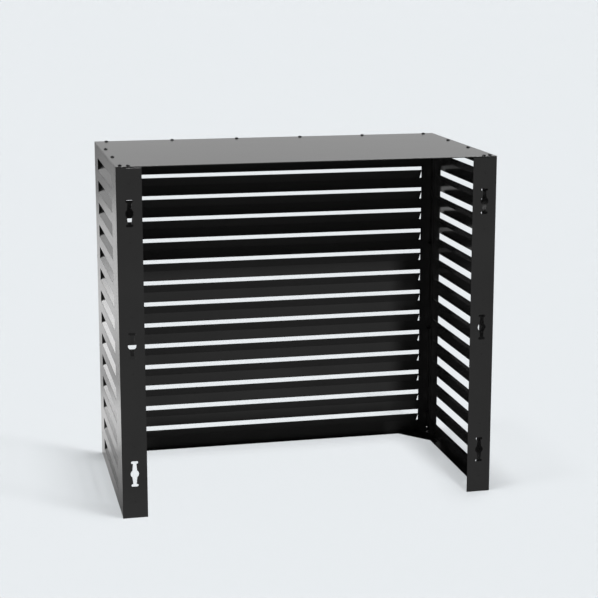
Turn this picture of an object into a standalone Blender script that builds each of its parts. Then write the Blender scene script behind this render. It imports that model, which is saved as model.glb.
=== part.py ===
"""Louvred steel screen that stands over an outdoor air conditioner unit and hangs on the wall behind it.

Metres, +Z up, origin at the middle of the footprint on the ground. The open back faces -Y, the louvred
front faces +Y. Every panel is one sheet: a flat face whose edges are folded in, and whose louvres are
cut free along the top and both ends and bent inwards about their lower edge.
"""
import math

import bmesh
import bpy
from mathutils import Matrix, Vector

# Overall size of the folded panels.
WIDTH = 0.925
DEPTH = 0.520
HEIGHT = 0.850

# Sheet and folds.
SHEET = 0.0015
TOP_SHEET = 0.0020
BRACKET_SHEET = 0.0020
FOLD_RADIUS = 0.0025
FOLD_STEPS = 3
FOLD_RELIEF = 0.0020
AIR = 0.0003
CLEARANCE = 0.0010

# Folded edges.
REAR_FLANGE = 0.060
SIDE_RETURN = 0.0215
FRONT_TOP_RETURN = 0.0220
FRONT_BOTTOM_RETURN = 0.0130
CORNER_RETURN = 0.0250
CORNER_NOTCH = 0.0120

# Louvres: the opening in the sheet, the flap bent out of it, and the solid strips round the field.
LOUVRE_PITCH = 0.0577
LOUVRE_OPENING = 0.0310
LOUVRE_KERF = 0.0012
LOUVRE_END_GAP = 0.0050
FLAP_ANGLE = math.radians(37)
TOP_STRIP = 0.034
BOTTOM_STRIP = 0.034
FRONT_END_STRIP = 0.030
SIDE_FRONT_STRIP = 0.080
SIDE_REAR_STRIP = 0.100

# Wall fixings in each rear flange.
KEYHOLE_COUNT = 3
KEYHOLE_END = 0.110
KEYHOLE_HEIGHT = 0.0635
KEYHOLE_HOLE_RADIUS = 0.0100
KEYHOLE_NECK = 0.0080
KEYHOLE_MOUTH = 0.0115
KEYHOLE_BAR_LENGTH = 0.0170
KEYHOLE_BAR_HEIGHT = 0.0067
PILOT_RADIUS = 0.0018
PILOT_OFFSET = 0.0685

# M5 button head screws that hold the top, and the clinch nuts under it.
SCREW_RADIUS = 0.0025
SCREW_HEAD_RADIUS = 0.00475
SCREW_HEAD_HEIGHT = 0.0026
SCREW_REACH = 0.0120
NUT_RADIUS = 0.0048
NUT_HEIGHT = 0.0040
SCREW_EDGE = 0.0120
FRONT_SCREW_PITCH = 0.173
SIDE_SCREW_COUNT = 3

# Flush M5 clinch studs that join the front corners, and their nuts.
STUD_HEAD_RADIUS = 0.0040
STUD_REACH = 0.0095
STUD_END = 0.060
STUD_COUNT = 4
HEX_NUT_RADIUS = 0.0046
HEX_NUT_HEIGHT = 0.0047

# Floor brackets that square the front corners, and their 3.5 mm sheet metal screws.
BRACKET_FRONT_LEG = 0.090
BRACKET_SIDE_LEG = 0.103
BRACKET_END = 0.0100
BRACKET_INSET = 0.0035
BRACKET_SCREW_RADIUS = 0.00175
BRACKET_SCREW_HEAD_RADIUS = 0.0034
BRACKET_SCREW_HEAD_HEIGHT = 0.0021
BRACKET_SCREW_EDGE = 0.0100
BRACKET_SCREW_NEAR = 0.0340

# The upright rim of a screw head, as a share of the head's height. The rest of it is domed.
HEAD_RIM_SHARE = 0.25

ROUND_STEPS = 12
DOME_STEPS = 3
ARC_STEPS = 4
HEX_SIDES = 6
SMOOTH_ANGLE = math.radians(40)
CUT_OVERRUN = 0.0020
WELD = 0.00001

# Worked out from the sizes above.
PANEL_TOP = HEIGHT - TOP_SHEET - AIR
FRONT_WIDTH = WIDTH - 2 * (SHEET + AIR)
HOLE_RADIUS = SCREW_RADIUS + AIR
BRACKET_HOLE_RADIUS = BRACKET_SCREW_RADIUS + AIR
RETURN_END = SIDE_RETURN + CLEARANCE
FLAP_LENGTH = LOUVRE_OPENING - LOUVRE_KERF
TAB_START = RETURN_END + FOLD_RELIEF
SCREW_CORNER = max(REAR_FLANGE / 2, TAB_START + NUT_RADIUS)
SIDE_SCREW_REAR = FOLD_RADIUS + CORNER_NOTCH + NUT_RADIUS + CLEARANCE
STUD_EDGE = CORNER_RETURN / 2
QUARTER = math.pi / 2

BLACK_COAT = ("black_powder_coated_steel", (0.022, 0.022, 0.023, 1.0), 0.45, 0.0)
BLACK_ZINC = ("black_zinc_steel", (0.015, 0.015, 0.016, 1.0), 0.35, 0.8)


def clear_scene():
    for thing in list(bpy.data.objects):
        bpy.data.objects.remove(thing, do_unlink=True)


def collection(name, hidden=False):
    group = bpy.data.collections.new(name)
    bpy.context.scene.collection.children.link(group)
    group.hide_render = hidden
    return group


def material(label, colour, roughness, metallic):
    made = bpy.data.materials.get(label) or bpy.data.materials.new(label)
    made.use_nodes = True
    shader = made.node_tree.nodes["Principled BSDF"]
    shader.inputs["Base Color"].default_value = colour
    shader.inputs["Roughness"].default_value = roughness
    shader.inputs["Metallic"].default_value = metallic
    return made


def spaced(first, last, count):
    """Evenly spaced places from first to last."""
    step = (last - first) / (count - 1)
    return [first + step * index for index in range(count)]


def louvre_floors():
    """The heights of the louvres' hinge lines, lowest first."""
    lowest = BOTTOM_STRIP
    highest = HEIGHT - TOP_STRIP - LOUVRE_OPENING
    count = max(2, round((highest - lowest) / LOUVRE_PITCH) + 1)
    return spaced(lowest, highest, count)


def add_part(name, mesh, finish, place=Matrix.Identity(4)):
    made = bpy.data.objects.new(name, mesh)
    parts.objects.link(made)
    if not mesh.materials:
        mesh.materials.append(material(*finish))
    made.parent = root
    made.matrix_world = place
    return made


def mesh_from(bm, name):
    mesh = bpy.data.meshes.new(name)
    bm.to_mesh(mesh)
    bm.free()
    return mesh


def baked(shape, name):
    """The welded mesh of an object as its modifiers leave it; the object itself is removed."""
    cutters.objects.link(shape)
    graph = bpy.context.evaluated_depsgraph_get()
    mesh = bpy.data.meshes.new_from_object(shape.evaluated_get(graph))
    bpy.data.objects.remove(shape, do_unlink=True)
    bm = bmesh.new()
    bm.from_mesh(mesh)
    bmesh.ops.remove_doubles(bm, verts=bm.verts, dist=WELD)
    bmesh.ops.recalc_face_normals(bm, faces=bm.faces)
    return mesh_from(bm, name)


def flat_shape(name, points, thickness):
    """A flat plate with the given outline in the XY plane, half its thickness above it and half below."""
    curve = bpy.data.curves.new(name, "CURVE")
    curve.dimensions = "2D"
    curve.fill_mode = "BOTH"
    curve.extrude = thickness / 2
    spline = curve.splines.new("POLY")
    spline.points.add(len(points) - 1)
    for point, (x, y) in zip(spline.points, points):
        point.co = (x, y, 0, 1)
    spline.use_cyclic_u = True
    return baked(bpy.data.objects.new(name, curve), name)


def turned_shape(name, profile, closed=False):
    """A round piece about Z from a profile of (radius, height) points that runs down its outer side."""
    bm = bmesh.new()
    verts = [bm.verts.new((radius, 0, height)) for radius, height in profile]
    pairs = list(zip(verts, verts[1:]))
    if closed:
        pairs.append((verts[-1], verts[0]))
    for pair in pairs:
        bm.edges.new(pair)
    shape = bpy.data.objects.new(name, mesh_from(bm, name))
    screw = shape.modifiers.new("turn", "SCREW")
    screw.steps = ROUND_STEPS
    screw.render_steps = ROUND_STEPS
    screw.use_merge_vertices = True
    screw.merge_threshold = WELD
    mesh = baked(shape, name)
    mesh.shade_smooth()
    mesh.set_sharp_from_angle(angle=SMOOTH_ANGLE)
    return mesh


# Flat sheets and folds. A sheet lies in the XZ plane, with its outer face at y = 0 and the inside at -y.


def flat_sheet(across, up):
    """A flat sheet with grid lines at the given places across it and up it."""
    bm = bmesh.new()
    columns = len(across) - 1
    rows = len(up) - 1
    bmesh.ops.create_grid(bm, x_segments=columns, y_segments=rows, size=1)
    for vert in bm.verts:
        column = round((vert.co.x + 1) / 2 * columns)
        row = round((vert.co.y + 1) / 2 * rows)
        vert.co = (across[column], 0, up[row])
    return bm


def cut_away(bm, left, right, low, high):
    """Removes the part of a flat sheet inside a rectangle."""
    gone = []
    for face in bm.faces:
        middle = face.calc_center_median()
        if left < middle.x < right and low < middle.z < high:
            gone.append(face)
    bmesh.ops.delete(bm, geom=gone, context="FACES")


def edges_between(bm, low_corner, high_corner):
    """The edges whose two ends lie in a box."""
    found = []
    for edge in bm.edges:
        ends = [vert.co for vert in edge.verts]
        if all(
            low - WELD <= value <= high + WELD
            for end in ends
            for value, low, high in zip(end, low_corner, high_corner)
        ):
            found.append(edge)
    return found


def carry_on(bm, edges, offset):
    """Extends the sheet flat from its edges and returns the new free edges."""
    grown = bmesh.ops.extrude_edge_only(bm, edges=edges)["geom"]
    verts = [item for item in grown if isinstance(item, bmesh.types.BMVert)]
    bmesh.ops.translate(bm, verts=verts, vec=offset)
    new = set(verts)
    return [
        item
        for item in grown
        if isinstance(item, bmesh.types.BMEdge) and new.issuperset(item.verts)
    ]


def fold(bm, edges, centre, axis, angle, direction, flat):
    """Rolls the sheet round a fold line, then carries it on flat; returns the free edges."""
    verts = {vert for edge in edges for vert in edge.verts}
    rolled = bmesh.ops.spin(
        bm,
        geom=list(edges) + list(verts),
        cent=centre,
        axis=axis,
        angle=angle,
        steps=FOLD_STEPS,
    )
    last = [item for item in rolled["geom_last"] if isinstance(item, bmesh.types.BMEdge)]
    return carry_on(bm, last, Vector(direction) * flat)


def fold_back(bm, edges, centre, axis, turn, width):
    """Folds an edge square to the face, so that the return is as wide as given, fold included."""
    return fold(bm, edges, centre, axis, turn * QUARTER, (0, -1, 0), width - FOLD_RADIUS)


def bend_louvres(bm, left, right):
    """Cuts each louvre's opening between left and right, and bends its flap inwards."""
    for floor in louvre_floors():
        cut_away(bm, left, right, floor, floor + LOUVRE_OPENING)
    flap_left = left + LOUVRE_END_GAP
    flap_right = right - LOUVRE_END_GAP
    flat = FLAP_LENGTH - FOLD_RADIUS * FLAP_ANGLE
    inwards = (0, -math.sin(FLAP_ANGLE), math.cos(FLAP_ANGLE))
    for floor in louvre_floors():
        hinge = edges_between(bm, (flap_left, 0, floor), (flap_right, 0, floor))
        fold(bm, hinge, (0, -FOLD_RADIUS, floor), (1, 0, 0), FLAP_ANGLE, inwards, flat)


def folded_mesh(bm, name, hand):
    """Turns the outside of the sheet outwards, mirrors it for the left hand and returns its mesh."""
    bmesh.ops.recalc_face_normals(bm, faces=bm.faces)
    widest = max(bm.faces, key=lambda face: face.calc_area())
    if widest.normal.y < 0:
        bmesh.ops.reverse_faces(bm, faces=bm.faces)
    if hand < 0:
        bmesh.ops.scale(bm, verts=bm.verts, vec=(-1, 1, 1))
        bmesh.ops.reverse_faces(bm, faces=bm.faces)
    return mesh_from(bm, name)


def thicken(panel):
    solid = panel.modifiers.new("sheet", "SOLIDIFY")
    solid.thickness = SHEET
    solid.offset = -1
    solid.use_even_offset = True


def cut_holes(panel, tools):
    """Cuts one group of closed tools out of a panel. The tools are given in the panel's own frame."""
    bm = bmesh.new()
    for tool in tools:
        bm.from_mesh(tool)
    cutter = bpy.data.objects.new(panel.name + "_holes", mesh_from(bm, panel.name + "_holes"))
    cutters.objects.link(cutter)
    cutter.matrix_world = panel.matrix_world
    cutter.hide_render = True
    cutter.display_type = "WIRE"
    cut = panel.modifiers.new("holes", "BOOLEAN")
    cut.operation = "DIFFERENCE"
    cut.object = cutter


# Hole tools, each one a closed mesh.


def drill(radius, depth, place, axis):
    """A round tool of twice the depth, centred on a place and lying along an axis."""
    bm = bmesh.new()
    turn = Vector((0, 0, 1)).rotation_difference(Vector(axis)).to_matrix().to_4x4()
    bmesh.ops.create_cone(
        bm,
        cap_ends=True,
        segments=ROUND_STEPS,
        radius1=radius,
        radius2=radius,
        depth=2 * depth,
        matrix=Matrix.Translation(place) @ turn,
    )
    return mesh_from(bm, "drill")


def arc(centre, radius, start, end, steps):
    """Points of an arc from one angle to another, both ends included."""
    points = []
    for index in range(steps + 1):
        angle = start + (end - start) * index / steps
        points.append((centre[0] + radius * math.cos(angle), centre[1] + radius * math.sin(angle)))
    return points


def keyhole_outline():
    """A round hole with a neck up and down from it. Each neck narrows from its mouth to a short bar."""
    neck = KEYHOLE_NECK / 2
    end_radius = KEYHOLE_BAR_HEIGHT / 2
    bar = KEYHOLE_BAR_LENGTH / 2 - end_radius
    bar_middle = KEYHOLE_HEIGHT / 2 - end_radius
    mouth = math.acos(KEYHOLE_MOUTH / 2 / KEYHOLE_HOLE_RADIUS)
    right = arc((0, 0), KEYHOLE_HOLE_RADIUS, -mouth, mouth, 2 * ARC_STEPS)
    top = [(neck, bar_middle - end_radius)]
    top += arc((bar, bar_middle), end_radius, -QUARTER, QUARTER, ARC_STEPS)
    top += arc((-bar, bar_middle), end_radius, QUARTER, 3 * QUARTER, ARC_STEPS)
    top += [(-neck, bar_middle - end_radius)]
    half = right + top
    return half + [(-x, -z) for x, z in half]


def keyhole_tool(place):
    """A prism with the keyhole's outline, centred on a place and cutting along Y."""
    tool = flat_shape("keyhole", keyhole_outline(), 2 * (SHEET + CUT_OVERRUN))
    tool.transform(Matrix.Translation(place) @ Matrix.Rotation(QUARTER, 4, "X"))
    return tool


# Where the fasteners go, in the screen's own frame.


def front_screw_places():
    reach = WIDTH / 2 - SCREW_CORNER
    count = max(2, round(2 * reach / FRONT_SCREW_PITCH) + 1)
    return [(x, DEPTH / 2 - SCREW_EDGE) for x in spaced(-reach, reach, count)]


def side_screw_rows():
    rear = SIDE_SCREW_REAR - DEPTH / 2
    front = DEPTH / 2 - SCREW_EDGE
    return spaced(rear, front, SIDE_SCREW_COUNT + 1)[:-1]


def side_screw_places(hand):
    return [(hand * (WIDTH / 2 - SCREW_EDGE), y) for y in side_screw_rows()]


def rear_screw_place(hand):
    return hand * (WIDTH / 2 - SCREW_CORNER), SCREW_EDGE - DEPTH / 2


def stud_heights():
    return spaced(STUD_END, HEIGHT - STUD_END, STUD_COUNT)


def bracket_screw_places(hand):
    """Two screws into the front panel's bottom return and two into the side panel's."""
    corner_x = WIDTH / 2 - SHEET - BRACKET_INSET
    corner_y = DEPTH / 2 - SHEET - BRACKET_INSET
    front_y = DEPTH / 2 - (FRONT_BOTTOM_RETURN + SHEET) / 2
    side_x = WIDTH / 2 - (SIDE_RETURN + SHEET) / 2
    return [
        (hand * (corner_x - BRACKET_SCREW_NEAR), front_y),
        (hand * (corner_x - BRACKET_FRONT_LEG + BRACKET_SCREW_EDGE), front_y),
        (hand * side_x, corner_y - BRACKET_SCREW_NEAR),
        (hand * side_x, corner_y - BRACKET_SIDE_LEG + BRACKET_SCREW_EDGE),
    ]


# The panels.


def edge_stations(low, high, folded, notch):
    """Grid places at both ends of an edge: the corner, its own fold band if it has one, and the notch."""
    stations = [low, low + notch - FOLD_RELIEF, low + notch]
    stations += [high - notch, high - notch + FOLD_RELIEF, high]
    if folded:
        stations += [low + FOLD_RADIUS, high - FOLD_RADIUS]
    return stations


def louvre_stations():
    heights = []
    for floor in louvre_floors():
        heights += [floor, floor + LOUVRE_OPENING]
    return heights


def louvre_columns(left, right):
    return [left, left + LOUVRE_END_GAP, right - LOUVRE_END_GAP, right]


def front_panel():
    """The louvred front: a tray with its top, bottom and side edges folded in."""
    half = FRONT_WIDTH / 2
    notch = half - (WIDTH / 2 - RETURN_END)
    left = FRONT_END_STRIP - WIDTH / 2
    right = -left
    across = edge_stations(-half, half, True, notch) + louvre_columns(left, right)
    up = edge_stations(0, PANEL_TOP, True, CORNER_NOTCH) + louvre_stations()
    bm = flat_sheet(sorted(across), sorted(up))
    inner = half - notch
    relief = inner + FOLD_RELIEF
    bend_x = half - FOLD_RADIUS
    bend_top = PANEL_TOP - FOLD_RADIUS
    notch_top = PANEL_TOP - CORNER_NOTCH
    cut_away(bm, -relief, relief, bend_top, PANEL_TOP)
    cut_away(bm, -relief, relief, 0, FOLD_RADIUS)
    for side in (-1, 1):
        outer = sorted((side * bend_x, side * half))
        cut_away(bm, *outer, CORNER_NOTCH - FOLD_RELIEF, notch_top + FOLD_RELIEF)
    bend_louvres(bm, left, right)
    top = edges_between(bm, (-inner, 0, bend_top), (inner, 0, bend_top))
    fold_back(bm, top, (0, -FOLD_RADIUS, bend_top), (1, 0, 0), 1, FRONT_TOP_RETURN)
    low = edges_between(bm, (-inner, 0, FOLD_RADIUS), (inner, 0, FOLD_RADIUS))
    fold_back(bm, low, (0, -FOLD_RADIUS, FOLD_RADIUS), (1, 0, 0), -1, FRONT_BOTTOM_RETURN)
    for side in (-1, 1):
        edges = edges_between(bm, (side * bend_x, 0, CORNER_NOTCH), (side * bend_x, 0, notch_top))
        fold_back(bm, edges, (side * bend_x, -FOLD_RADIUS, 0), (0, 0, 1), -side, CORNER_RETURN)
    mesh = folded_mesh(bm, "front_panel", 1)
    panel = add_part("front_panel", mesh, BLACK_COAT, Matrix.Translation((0, DEPTH / 2, 0)))
    thicken(panel)
    depth = SHEET + CUT_OVERRUN
    tools = []
    for x, y in front_screw_places():
        tools.append(drill(HOLE_RADIUS, depth, (x, y - DEPTH / 2, PANEL_TOP), (0, 0, 1)))
    for hand in (-1, 1):
        for x, y in bracket_screw_places(hand)[:2]:
            tools.append(drill(BRACKET_HOLE_RADIUS, depth, (x, y - DEPTH / 2, 0), (0, 0, 1)))
        for z in stud_heights():
            tools.append(drill(HOLE_RADIUS, depth, (hand * half, -STUD_EDGE, z), (1, 0, 0)))
    cut_holes(panel, tools)


def side_panel(name, hand):
    """A louvred side with a wide rear flange for the wall. It is drawn with its front edge at x = 0."""
    bend_x = DEPTH - FOLD_RADIUS
    left = SIDE_FRONT_STRIP
    right = DEPTH - SIDE_REAR_STRIP
    bend_top = PANEL_TOP - FOLD_RADIUS
    across = edge_stations(0, bend_x, False, CORNER_NOTCH) + louvre_columns(left, right)
    up = [0, FOLD_RADIUS, bend_top, PANEL_TOP] + louvre_stations()
    bm = flat_sheet(sorted(across), sorted(up))
    first = CORNER_NOTCH
    last = bend_x - CORNER_NOTCH
    cut_away(bm, first - FOLD_RELIEF, last + FOLD_RELIEF, bend_top, PANEL_TOP)
    cut_away(bm, first - FOLD_RELIEF, last + FOLD_RELIEF, 0, FOLD_RADIUS)
    bend_louvres(bm, left, right)
    top = edges_between(bm, (first, 0, bend_top), (last, 0, bend_top))
    fold_back(bm, top, (0, -FOLD_RADIUS, bend_top), (1, 0, 0), 1, SIDE_RETURN)
    low = edges_between(bm, (first, 0, FOLD_RADIUS), (last, 0, FOLD_RADIUS))
    fold_back(bm, low, (0, -FOLD_RADIUS, FOLD_RADIUS), (1, 0, 0), -1, SIDE_RETURN)
    fold_flange(bm, bend_x, bend_top)
    mesh = folded_mesh(bm, name, hand)
    turn = Matrix.Rotation(-hand * QUARTER, 4, "Z")
    place = Matrix.Translation((hand * WIDTH / 2, DEPTH / 2, 0)) @ turn
    panel = add_part(name, mesh, BLACK_COAT, place)
    thicken(panel)
    cut_holes(panel, side_tools(hand, place))


def fold_flange(bm, bend_x, bend_top):
    """The rear flange, with a tab at its top for the rear screw."""
    rear = edges_between(bm, (bend_x, 0, 0), (bend_x, 0, PANEL_TOP))
    edges = fold_back(bm, rear, (bend_x, -FOLD_RADIUS, 0), (0, 0, 1), -1, RETURN_END)
    below = [edge for edge in edges if max(vert.co.z for vert in edge.verts) < bend_top + WELD]
    below = carry_on(bm, below, (0, -FOLD_RELIEF, 0))
    carry_on(bm, below, (0, TAB_START - REAR_FLANGE, 0))
    tab_low = (DEPTH, -REAR_FLANGE, bend_top)
    tab_high = (DEPTH, -TAB_START, bend_top)
    tab = edges_between(bm, tab_low, tab_high)
    centre = (DEPTH - FOLD_RADIUS, 0, bend_top)
    fold(bm, tab, centre, (0, 1, 0), -QUARTER, (-1, 0, 0), FRONT_TOP_RETURN - FOLD_RADIUS)


def side_tools(hand, place):
    """Holes of one side panel, moved from the screen's frame into the panel's own."""
    depth = SHEET + CUT_OVERRUN
    tools = []
    for x, y in side_screw_places(hand) + [rear_screw_place(hand)]:
        tools.append(drill(HOLE_RADIUS, depth, (x, y, PANEL_TOP), (0, 0, 1)))
    for x, y in bracket_screw_places(hand)[2:]:
        tools.append(drill(BRACKET_HOLE_RADIUS, depth, (x, y, 0), (0, 0, 1)))
    for z in stud_heights():
        middle = (hand * WIDTH / 2, DEPTH / 2 - STUD_EDGE, z)
        tools.append(drill(STUD_HEAD_RADIUS + AIR, depth, middle, (1, 0, 0)))
    x = hand * (WIDTH - REAR_FLANGE) / 2
    for z in spaced(KEYHOLE_END, HEIGHT - KEYHOLE_END, KEYHOLE_COUNT):
        tools.append(keyhole_tool((x, -DEPTH / 2, z)))
        for way in (-1, 1):
            pilot = (x, -DEPTH / 2, z + way * PILOT_OFFSET)
            tools.append(drill(PILOT_RADIUS, depth, pilot, (0, 1, 0)))
    for tool in tools:
        tool.transform(place.inverted())
    return tools


def top_panel():
    """The flat lid, flush with the outside of the panels, with a hole for each screw."""
    bm = bmesh.new()
    bmesh.ops.create_cube(bm, size=1)
    bmesh.ops.scale(bm, verts=bm.verts, vec=(WIDTH, DEPTH, TOP_SHEET))
    mesh = mesh_from(bm, "top_panel")
    middle = HEIGHT - TOP_SHEET / 2
    panel = add_part("top_panel", mesh, BLACK_COAT, Matrix.Translation((0, 0, middle)))
    depth = TOP_SHEET + CUT_OVERRUN
    tools = [drill(HOLE_RADIUS, depth, (x, y, 0), (0, 0, 1)) for x, y in top_screw_places()]
    cut_holes(panel, tools)


def top_screw_places():
    places = front_screw_places()
    for hand in (-1, 1):
        places += side_screw_places(hand)
        places.append(rear_screw_place(hand))
    return places


def floor_bracket(name, hand):
    """A flat corner plate that lies on the bottom returns of the front and one side."""
    corner_x = WIDTH / 2 - SHEET - BRACKET_INSET
    corner_y = DEPTH / 2 - SHEET - BRACKET_INSET
    outline = [
        (corner_x, corner_y),
        (corner_x - BRACKET_FRONT_LEG, corner_y),
        (corner_x - BRACKET_FRONT_LEG, corner_y - BRACKET_END),
        (corner_x - BRACKET_END, corner_y - BRACKET_SIDE_LEG),
        (corner_x, corner_y - BRACKET_SIDE_LEG),
    ]
    mesh = flat_shape(name, [(hand * x, y) for x, y in outline], BRACKET_SHEET)
    middle = SHEET + AIR + BRACKET_SHEET / 2
    plate = add_part(name, mesh, BLACK_COAT, Matrix.Translation((0, 0, middle)))
    depth = BRACKET_SHEET + CUT_OVERRUN
    places = bracket_screw_places(hand)
    tools = [drill(BRACKET_HOLE_RADIUS, depth, (x, y, 0), (0, 0, 1)) for x, y in places]
    cut_holes(plate, tools)


# Fasteners, each one about its own axis.


def screw_mesh(name, radius, head_radius, head_height, reach):
    """A button head screw with its domed head above z = 0 and its shank below."""
    rim = HEAD_RIM_SHARE * head_height
    profile = []
    for index in range(DOME_STEPS + 1):
        angle = QUARTER * index / DOME_STEPS
        profile.append((head_radius * math.sin(angle), rim + (head_height - rim) * math.cos(angle)))
    profile += [(head_radius, 0), (radius, 0), (radius, -reach), (0, -reach)]
    return turned_shape(name, profile)


def ring_mesh(name, bore, radius, height):
    """A plain round nut below z = 0."""
    profile = [(bore, 0), (radius, 0), (radius, -height), (bore, -height)]
    return turned_shape(name, profile, closed=True)


def stud_mesh():
    """A flush stud: its head fills the sheet below z = 0 and its shank goes on down."""
    end = -SHEET - STUD_REACH
    head = [(0, 0), (STUD_HEAD_RADIUS, 0), (STUD_HEAD_RADIUS, -SHEET)]
    shank = [(SCREW_RADIUS, -SHEET), (SCREW_RADIUS, end), (0, end)]
    return turned_shape("corner_stud", head + shank)


def hex_nut_mesh():
    """A hexagon nut below z = 0, with a plain bore."""
    bm = bmesh.new()
    bmesh.ops.create_cone(
        bm,
        cap_ends=True,
        segments=HEX_SIDES,
        radius1=HEX_NUT_RADIUS,
        radius2=HEX_NUT_RADIUS,
        depth=HEX_NUT_HEIGHT,
        matrix=Matrix.Translation((0, 0, -HEX_NUT_HEIGHT / 2)),
    )
    tool = drill(HOLE_RADIUS, HEX_NUT_HEIGHT + CUT_OVERRUN, (0, 0, 0), (0, 0, 1))
    bore = bpy.data.objects.new("nut_bore", tool)
    cutters.objects.link(bore)
    blank = bpy.data.objects.new("nut_blank", mesh_from(bm, "nut_blank"))
    blank.modifiers.new("bore", "BOOLEAN").object = bore
    mesh = baked(blank, "corner_nut")
    bpy.data.objects.remove(bore, do_unlink=True)
    return mesh


def top_fasteners():
    """A screw and a clinch nut at each place round the lid."""
    head_floor = HEIGHT + AIR
    nut_top = PANEL_TOP - SHEET - AIR
    screw = screw_mesh("top_screw", SCREW_RADIUS, SCREW_HEAD_RADIUS, SCREW_HEAD_HEIGHT, SCREW_REACH)
    nut = ring_mesh("clinch_nut", HOLE_RADIUS, NUT_RADIUS, NUT_HEIGHT)
    for number, (x, y) in enumerate(top_screw_places(), 1):
        add_part(f"top_screw_{number:02d}", screw, BLACK_ZINC, Matrix.Translation((x, y, head_floor)))
        add_part(f"clinch_nut_{number:02d}", nut, BLACK_ZINC, Matrix.Translation((x, y, nut_top)))


def corner_fasteners():
    """Studs flush in the side panels, and the nuts that clamp the front panel's side returns."""
    stud = stud_mesh()
    nut = hex_nut_mesh()
    nut_face = FRONT_WIDTH / 2 - SHEET - AIR
    y = DEPTH / 2 - STUD_EDGE
    for side, hand in (("left", -1), ("right", 1)):
        turn = Matrix.Rotation(hand * QUARTER, 4, "Y")
        for number, z in enumerate(stud_heights(), 1):
            outside = Matrix.Translation((hand * WIDTH / 2, y, z)) @ turn
            inside = Matrix.Translation((hand * nut_face, y, z)) @ turn
            add_part(f"{side}_corner_stud_{number}", stud, BLACK_ZINC, outside)
            add_part(f"{side}_corner_nut_{number}", nut, BLACK_ZINC, inside)


def bracket_fasteners():
    """Short screws down through the brackets into the bottom returns."""
    head_floor = SHEET + AIR + BRACKET_SHEET + AIR
    reach = head_floor - AIR
    screw = screw_mesh(
        "bracket_screw", BRACKET_SCREW_RADIUS, BRACKET_SCREW_HEAD_RADIUS, BRACKET_SCREW_HEAD_HEIGHT, reach
    )
    for side, hand in (("left", -1), ("right", 1)):
        for number, (x, y) in enumerate(bracket_screw_places(hand), 1):
            place = Matrix.Translation((x, y, head_floor))
            add_part(f"{side}_bracket_screw_{number}", screw, BLACK_ZINC, place)


clear_scene()
parts = collection("air_conditioner_screen")
cutters = collection("cutters", hidden=True)
root = bpy.data.objects.new("screen_origin", None)
parts.objects.link(root)

top_panel()
front_panel()
side_panel("left_side_panel", -1)
side_panel("right_side_panel", 1)
floor_bracket("left_floor_bracket", -1)
floor_bracket("right_floor_bracket", 1)
top_fasteners()
corner_fasteners()
bracket_fasteners()
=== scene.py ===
"""The finished look of a louvred steel screen for an outdoor air conditioner, round its CAD frame.

The front and both sides are each one sheet, folded as on a press brake: a flat sheet with grid lines,
cut away at its corners and louvres, spun round its fold lines, thickened, drilled and broken at its
edges. The top is a flat plate, drilled and broken at its edges. The screws, studs and nuts are drawn up
ring by ring from a circle.
"""

import math

import bmesh
import bpy
from mathutils import Matrix, Vector


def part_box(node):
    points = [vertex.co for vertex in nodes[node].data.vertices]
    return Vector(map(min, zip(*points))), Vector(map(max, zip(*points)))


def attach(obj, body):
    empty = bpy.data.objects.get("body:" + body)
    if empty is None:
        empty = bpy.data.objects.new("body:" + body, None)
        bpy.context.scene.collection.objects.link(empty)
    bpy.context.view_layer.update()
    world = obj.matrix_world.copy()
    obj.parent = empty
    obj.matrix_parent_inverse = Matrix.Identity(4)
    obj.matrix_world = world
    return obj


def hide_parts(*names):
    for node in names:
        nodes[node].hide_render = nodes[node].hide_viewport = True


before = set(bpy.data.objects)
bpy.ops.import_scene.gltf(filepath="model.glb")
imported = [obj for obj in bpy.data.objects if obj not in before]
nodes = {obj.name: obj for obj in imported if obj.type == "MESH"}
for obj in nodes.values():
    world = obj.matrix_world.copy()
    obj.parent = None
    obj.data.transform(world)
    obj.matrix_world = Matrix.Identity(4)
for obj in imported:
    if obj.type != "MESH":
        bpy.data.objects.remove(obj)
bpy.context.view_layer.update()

# A quarter turn, how near two points are one, and how near a cutting plane takes in a point.
QUARTER = math.pi / 2
WELD = 0.00001
ON_PLANE = WELD / 10

# An edge sharper than SQUARE_EDGE is broken, a bend blunter than SMOOTH_BEND is shaded round, and a face
# whose normal has FACING along an axis faces that way.
SQUARE_EDGE = math.radians(60)
SMOOTH_BEND = math.radians(32)
FACING = 0.9

# The overall size, read from the frame.
top_low, top_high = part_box("top_panel")
front_low, front_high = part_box("front_panel")
WIDTH = top_high.x - top_low.x
DEPTH = top_high.y - top_low.y
HEIGHT = top_high.z
FRONT_WIDTH = front_high.x - front_low.x
PANEL_TOP = front_high.z

# Sheet and folds: the sheet's thickness, the air between neighbours, the outer radius of a fold, the slit
# beside a folded edge, the broken edges, and a tool's length, which takes it through any sheet.
SHEET = 0.0015
AIR = 0.0003
FOLD_RADIUS = 0.0025
FOLD_STEPS = 6
FOLD_RELIEF = 0.0020
EDGE_BREAK = 0.0003
NUT_EDGE_BREAK = EDGE_BREAK / 2
TOP_EDGE_STEPS = 2
TOP_CORNER = 0.0008
TOP_CORNER_STEPS = 4
TOOL_REACH = 4 * SHEET

# Folded edges, as widths over all. The front's top and bottom returns end RETURN_END short of the sides'
# outsides, and the tab on top of each rear flange starts TAB_START from there.
REAR_FLANGE = 0.060
SIDE_RETURN = 0.0215
RETURN_END = 0.0225
TAB_START = 0.0245
FRONT_TOP_RETURN = 0.0220
FRONT_BOTTOM_RETURN = 0.0130
CORNER_RETURN = 0.0250
CORNER_NOTCH = 0.0120

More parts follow.
